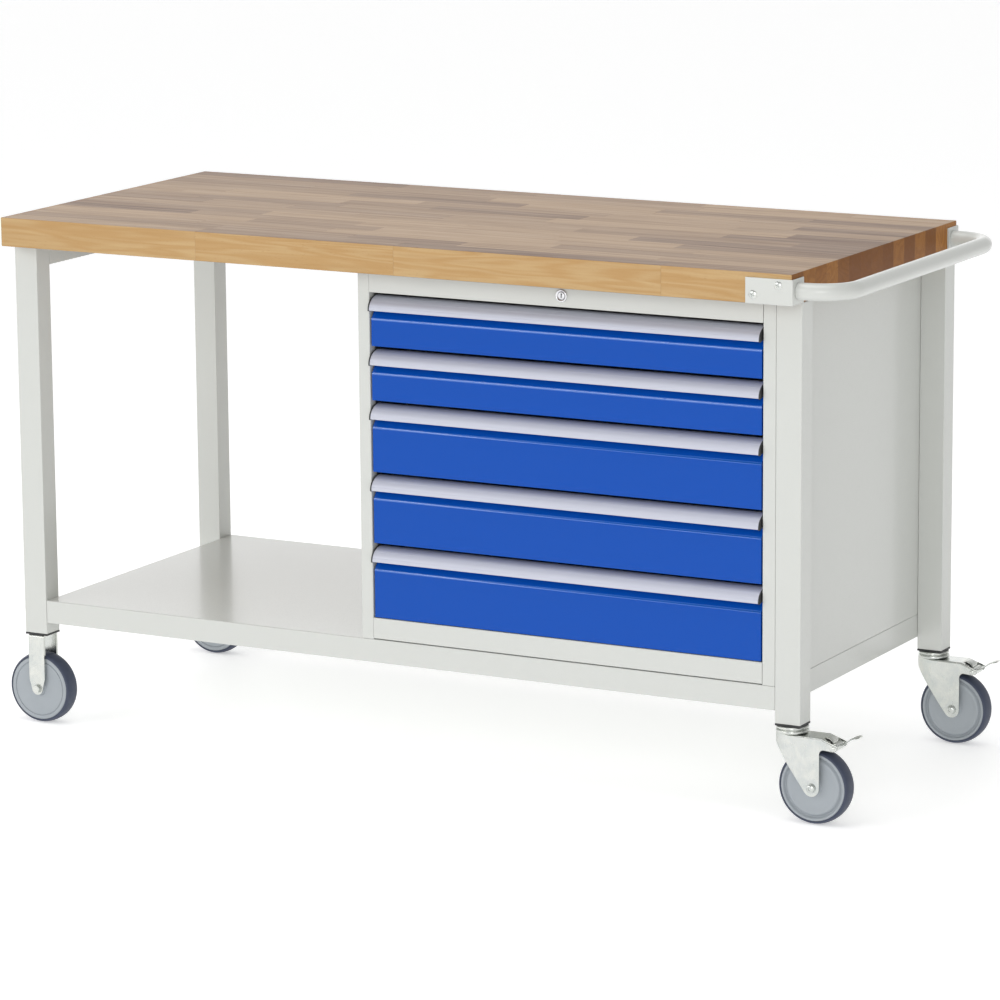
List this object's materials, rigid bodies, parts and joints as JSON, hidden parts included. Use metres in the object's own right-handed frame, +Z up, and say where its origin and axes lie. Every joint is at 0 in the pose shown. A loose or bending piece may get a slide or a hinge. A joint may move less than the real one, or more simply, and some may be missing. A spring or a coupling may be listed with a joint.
{
  "type": "workbench with drawers",
  "caption": "Mobile workbench with a thick beech top, an open shelf, a cabinet of drawers with grip strips, a push handle, and fixed and braked swivel casters.",
  "frame": {"origin": "middle of the outer box, on the floor", "axes": "+X to the right along the length, towards the push handle; +Y from the drawer fronts to the rear; +Z up"},
  "size_m": [1.6385, 0.6706, 0.905],
  "materials": {
    "beech_top": "oiled edge-glued beech staves, satin",
    "light_grey_paint": "semi-gloss powder coat",
    "blue_paint": "semi-gloss powder coat",
    "grip_aluminium": "anodised, fine extrusion lines",
    "zinc_steel": "bright zinc plate",
    "lock_chrome": "polished plate",
    "tyre_rubber": "smooth grey-blue tread",
    "hub_plastic": "satin moulded plastic",
    "black_plastic": "matt moulded plastic"
  },
  "bodies": {
    "frame": {"worktop": "beech_top", "left_top_rail": "light_grey_paint", "base_shelf": "light_grey_paint", "cabinet_wall_left": "light_grey_paint", "cabinet_wall_right": "light_grey_paint", "cabinet_wall_rear": "light_grey_paint", "cabinet_top_rail": "light_grey_paint", "cabinet_floor_pan": "light_grey_paint", "runner_panel_left": "zinc_steel", "runner_panel_right": "zinc_steel", "lock_barrel": "lock_chrome", "handle_tube": "light_grey_paint", "handle_bracket_front": "light_grey_paint", "handle_bracket_rear": "light_grey_paint", "leg_front_left": "light_grey_paint", "leg_plug_front_left": "black_plastic", "leg_front_right": "light_grey_paint", "leg_plug_front_right": "black_plastic", "fork_front_left": "zinc_steel", "axle_front_left": "zinc_steel", "caster_head_front_right": "zinc_steel", "leg_rear_left": "light_grey_paint", "leg_plug_rear_left": "black_plastic", "leg_rear_right": "light_grey_paint", "leg_plug_rear_right": "black_plastic", "fork_rear_left": "zinc_steel", "axle_rear_left": "zinc_steel", "caster_head_rear_right": "zinc_steel"},
    "drawer_1": {"drawer_1_body": "light_grey_paint", "drawer_1_front": "blue_paint", "drawer_1_grip": "grip_aluminium"},
    "drawer_2": {"drawer_2_body": "light_grey_paint", "drawer_2_front": "blue_paint", "drawer_2_grip": "grip_aluminium"},
    "drawer_3": {"drawer_3_body": "light_grey_paint", "drawer_3_front": "blue_paint", "drawer_3_grip": "grip_aluminium"},
    "drawer_4": {"drawer_4_body": "light_grey_paint", "drawer_4_front": "blue_paint", "drawer_4_grip": "grip_aluminium"},
    "drawer_5": {"drawer_5_body": "light_grey_paint", "drawer_5_front": "blue_paint", "drawer_5_grip": "grip_aluminium"},
    "lock": {"lock_plug": "lock_chrome"},
    "crossbar": {"locking_crossbar": "zinc_steel"},
    "upright": {"locking_upright": "zinc_steel"},
    "wheel_front_left": {"tyre_front_left": "tyre_rubber", "hub_front_left": "hub_plastic"},
    "wheel_rear_left": {"tyre_rear_left": "tyre_rubber", "hub_rear_left": "hub_plastic"},
    "swivel_front_right": {"fork_front_right": "zinc_steel", "axle_front_right": "zinc_steel"},
    "wheel_front_right": {"tyre_front_right": "tyre_rubber", "hub_front_right": "hub_plastic"},
    "pedal_front_right": {"brake_pedal_front_right": "zinc_steel"},
    "swivel_rear_right": {"fork_rear_right": "zinc_steel", "axle_rear_right": "zinc_steel"},
    "wheel_rear_right": {"tyre_rear_right": "tyre_rubber", "hub_rear_right": "hub_plastic"},
    "pedal_rear_right": {"brake_pedal_rear_right": "zinc_steel"}
  },
  "joints": [
    {"name": "drawer_1_slide", "type": "slide", "parent": "frame", "child": "drawer_1", "axis": [0, -1, 0], "range_m": [0, 0.45]},
    {"name": "drawer_2_slide", "type": "slide", "parent": "frame", "child": "drawer_2", "axis": [0, -1, 0], "range_m": [0, 0.45]},
    {"name": "drawer_3_slide", "type": "slide", "parent": "frame", "child": "drawer_3", "axis": [0, -1, 0], "range_m": [0, 0.45]},
    {"name": "drawer_4_slide", "type": "slide", "parent": "frame", "child": "drawer_4", "axis": [0, -1, 0], "range_m": [0, 0.45]},
    {"name": "drawer_5_slide", "type": "slide", "parent": "frame", "child": "drawer_5", "axis": [0, -1, 0], "range_m": [0, 0.45]},
    {"name": "lock_turn", "type": "hinge", "parent": "frame", "child": "lock", "pos_m": [0.29075, -0.2925, 0.8365], "axis": [0, 1, 0], "range_deg": [0, 90]},
    {"name": "crossbar_slide", "type": "slide", "parent": "frame", "child": "crossbar", "axis": [1, 0, 0], "range_m": [0, 0.01]},
    {"name": "upright_lift", "type": "slide", "parent": "frame", "child": "upright", "axis": [0, 0, 1], "range_m": [0, 0.01]},
    {"name": "wheel_spin_front_left", "type": "hinge", "parent": "frame", "child": "wheel_front_left", "pos_m": [-0.75675, -0.2725, 0.0625], "axis": [0, 1, 0], "continuous": true},
    {"name": "wheel_spin_rear_left", "type": "hinge", "parent": "frame", "child": "wheel_rear_left", "pos_m": [-0.75675, 0.3075, 0.0625], "axis": [0, 1, 0], "continuous": true},
    {"name": "swivel_front_right_turn", "type": "hinge", "parent": "frame", "child": "swivel_front_right", "pos_m": [0.69825, -0.2725, 0.14], "axis": [0, 0, 1], "continuous": true},
    {"name": "wheel_spin_front_right", "type": "hinge", "parent": "swivel_front_right", "child": "wheel_front_right", "pos_m": [0.74125, -0.2725, 0.0625], "axis": [0, 1, 0], "continuous": true},
    {"name": "brake_front_right_press", "type": "hinge", "parent": "swivel_front_right", "child": "pedal_front_right", "pos_m": [0.77825, -0.2725, 0.132], "axis": [0, 1, 0], "range_deg": [0, 15]},
    {"name": "swivel_rear_right_turn", "type": "hinge", "parent": "frame", "child": "swivel_rear_right", "pos_m": [0.69825, 0.3075, 0.14], "axis": [0, 0, 1], "continuous": true},
    {"name": "wheel_spin_rear_right", "type": "hinge", "parent": "swivel_rear_right", "child": "wheel_rear_right", "pos_m": [0.74125, 0.3075, 0.0625], "axis": [0, 1, 0], "continuous": true},
    {"name": "brake_rear_right_press", "type": "hinge", "parent": "swivel_rear_right", "child": "pedal_rear_right", "pos_m": [0.77825, 0.3075, 0.132], "axis": [0, 1, 0], "range_deg": [0, 15]}
  ],
  "couplings": [
    {"joint": "crossbar_slide", "follows": "upright_lift", "ratio": 1},
    {"joint": "lock_turn", "follows": "upright_lift", "rad_per_m": 157}
  ]
}
